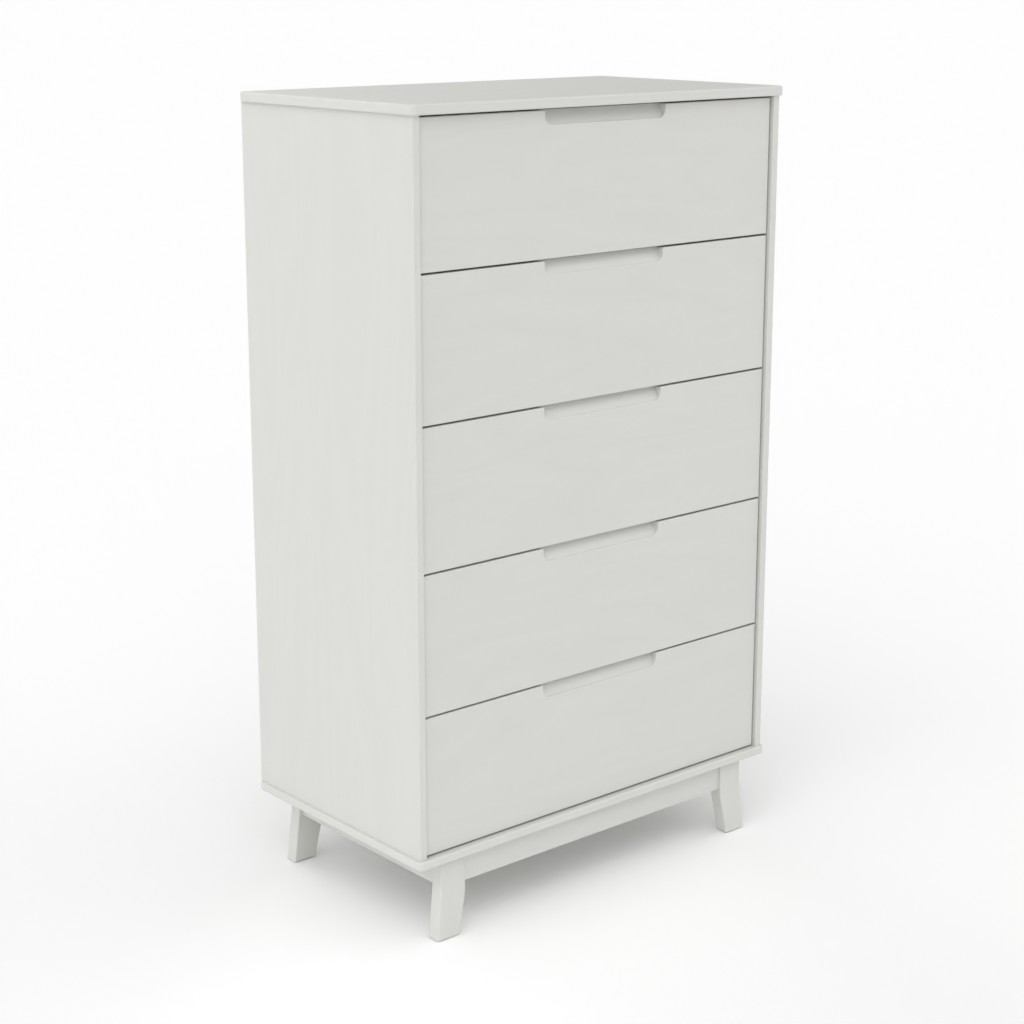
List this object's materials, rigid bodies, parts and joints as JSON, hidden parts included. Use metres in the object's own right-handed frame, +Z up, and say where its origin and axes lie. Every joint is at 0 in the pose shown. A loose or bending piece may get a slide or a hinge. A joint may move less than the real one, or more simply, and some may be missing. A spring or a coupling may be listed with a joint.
{
  "type": "tall chest of drawers",
  "caption": "Tall narrow chest with a column of equal drawers, finger notches in their top edges, thin overhanging top and base panels and short splayed legs.",
  "frame": {"origin": "on the floor, under the middle of the chest's overall box", "axes": "+Z up, the drawers face -Y and slide out along -Y, +X to the right as seen from the front"},
  "size_m": [0.729, 0.4154, 1.22],
  "materials": {
    "painted_wood": "off-white satin paint over fine wood grain",
    "back_board": "off-white painted thin board",
    "bare_wood": "planed softwood, unpainted",
    "box_wood": "clear-lacquered birch",
    "box_floor": "thin birch plywood",
    "dowel_wood": "fluted beech",
    "zinc_steel": "zinc-plated rolled steel",
    "screw_steel": "zinc-plated",
    "glide_plastic": "moulded nylon"
  },
  "bodies": {
    "carcass": {"top_panel": "painted_wood", "base_panel": "painted_wood", "side_panel_left": "painted_wood", "side_panel_right": "painted_wood", "leg_front_left": "painted_wood", "leg_front_right": "painted_wood", "leg_rear_left": "painted_wood", "leg_rear_right": "painted_wood", "apron_front": "painted_wood", "apron_rear": "painted_wood", "apron_left": "painted_wood", "apron_right": "painted_wood", "back_panel": "back_board", "cross_rails": "painted_wood", "corner_blocks": "bare_wood", "dowels": "dowel_wood", "cabinet_slide_members": "zinc_steel", "anti_tip_bracket": "zinc_steel", "carcass_screws": "screw_steel", "foot_glides": "glide_plastic"},
    "drawer_1": {"drawer_1_front": "painted_wood", "drawer_1_box_front": "painted_wood", "drawer_1_side_left": "box_wood", "drawer_1_side_right": "box_wood", "drawer_1_back": "box_wood", "drawer_1_bottom": "box_floor", "drawer_1_slide_members": "zinc_steel"},
    "slide_stage_1": {"slide_stage_1": "zinc_steel"},
    "drawer_2": {"drawer_2_front": "painted_wood", "drawer_2_box_front": "painted_wood", "drawer_2_side_left": "box_wood", "drawer_2_side_right": "box_wood", "drawer_2_back": "box_wood", "drawer_2_bottom": "box_floor", "drawer_2_slide_members": "zinc_steel"},
    "slide_stage_2": {"slide_stage_2": "zinc_steel"},
    "drawer_3": {"drawer_3_front": "painted_wood", "drawer_3_box_front": "painted_wood", "drawer_3_side_left": "box_wood", "drawer_3_side_right": "box_wood", "drawer_3_back": "box_wood", "drawer_3_bottom": "box_floor", "drawer_3_slide_members": "zinc_steel"},
    "slide_stage_3": {"slide_stage_3": "zinc_steel"},
    "drawer_4": {"drawer_4_front": "painted_wood", "drawer_4_box_front": "painted_wood", "drawer_4_side_left": "box_wood", "drawer_4_side_right": "box_wood", "drawer_4_back": "box_wood", "drawer_4_bottom": "box_floor", "drawer_4_slide_members": "zinc_steel"},
    "slide_stage_4": {"slide_stage_4": "zinc_steel"},
    "drawer_5": {"drawer_5_front": "painted_wood", "drawer_5_box_front": "painted_wood", "drawer_5_side_left": "box_wood", "drawer_5_side_right": "box_wood", "drawer_5_back": "box_wood", "drawer_5_bottom": "box_floor", "drawer_5_slide_members": "zinc_steel"},
    "slide_stage_5": {"slide_stage_5": "zinc_steel"}
  },
  "joints": [
    {"name": "drawer_1_slide", "type": "slide", "parent": "carcass", "child": "drawer_1", "axis": [0, -1, 0], "range_m": [0, 0.32]},
    {"name": "slide_stage_1_slide", "type": "slide", "parent": "carcass", "child": "slide_stage_1", "axis": [0, -1, 0], "range_m": [0, 0.16]},
    {"name": "drawer_2_slide", "type": "slide", "parent": "carcass", "child": "drawer_2", "axis": [0, -1, 0], "range_m": [0, 0.32]},
    {"name": "slide_stage_2_slide", "type": "slide", "parent": "carcass", "child": "slide_stage_2", "axis": [0, -1, 0], "range_m": [0, 0.16]},
    {"name": "drawer_3_slide", "type": "slide", "parent": "carcass", "child": "drawer_3", "axis": [0, -1, 0], "range_m": [0, 0.32]},
    {"name": "slide_stage_3_slide", "type": "slide", "parent": "carcass", "child": "slide_stage_3", "axis": [0, -1, 0], "range_m": [0, 0.16]},
    {"name": "drawer_4_slide", "type": "slide", "parent": "carcass", "child": "drawer_4", "axis": [0, -1, 0], "range_m": [0, 0.32]},
    {"name": "slide_stage_4_slide", "type": "slide", "parent": "carcass", "child": "slide_stage_4", "axis": [0, -1, 0], "range_m": [0, 0.16]},
    {"name": "drawer_5_slide", "type": "slide", "parent": "carcass", "child": "drawer_5", "axis": [0, -1, 0], "range_m": [0, 0.32]},
    {"name": "slide_stage_5_slide", "type": "slide", "parent": "carcass", "child": "slide_stage_5", "axis": [0, -1, 0], "range_m": [0, 0.16]}
  ],
  "couplings": [
    {"joint": "slide_stage_1_slide", "follows": "drawer_1_slide", "ratio": 0.5},
    {"joint": "slide_stage_2_slide", "follows": "drawer_2_slide", "ratio": 0.5},
    {"joint": "slide_stage_3_slide", "follows": "drawer_3_slide", "ratio": 0.5},
    {"joint": "slide_stage_4_slide", "follows": "drawer_4_slide", "ratio": 0.5},
    {"joint": "slide_stage_5_slide", "follows": "drawer_5_slide", "ratio": 0.5}
  ]
}
